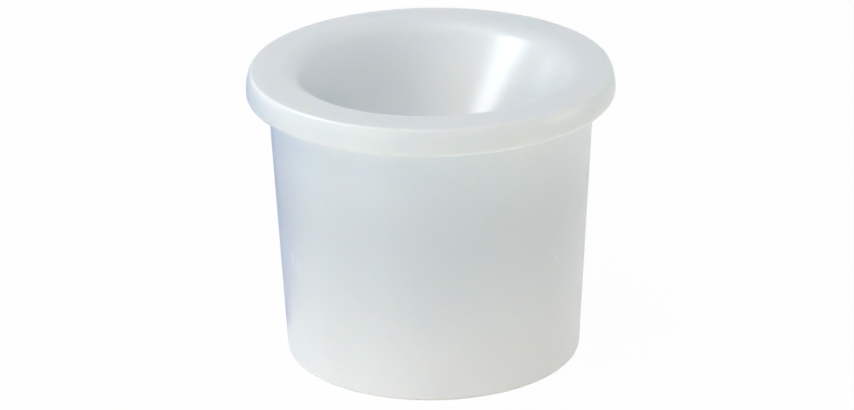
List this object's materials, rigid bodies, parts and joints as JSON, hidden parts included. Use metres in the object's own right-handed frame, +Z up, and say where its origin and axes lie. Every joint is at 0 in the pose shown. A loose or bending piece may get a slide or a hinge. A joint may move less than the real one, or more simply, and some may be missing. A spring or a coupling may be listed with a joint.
{
  "type": "non-spill paint cup",
  "caption": "Tapered translucent plastic pot with a wide-rimmed push-on lid whose funnel hangs inside it, so paint or water stays in when the cup is knocked over.",
  "frame": {"origin": "middle of the foot ring, on the surface that the cup stands on", "axes": "+Z up along the cup's axis; the cup is round, so +X and +Y are free, and the picture looks along +Y from above"},
  "size_m": [0.093, 0.093, 0.0759],
  "materials": {
    "pot_plastic": "natural polypropylene, milky and translucent, satin mould finish",
    "lid_plastic": "natural polypropylene, milky and translucent, semi-gloss, with fine turned-tool lines in the funnel"
  },
  "bodies": {
    "pot": {"pot": "pot_plastic"},
    "lid": {"funnel_lid": "lid_plastic"}
  },
  "joints": [
    {"name": "lid_lift", "type": "slide", "parent": "pot", "child": "lid", "axis": [0, 0, 1], "range_m": [0, 0.06]}
  ]
}
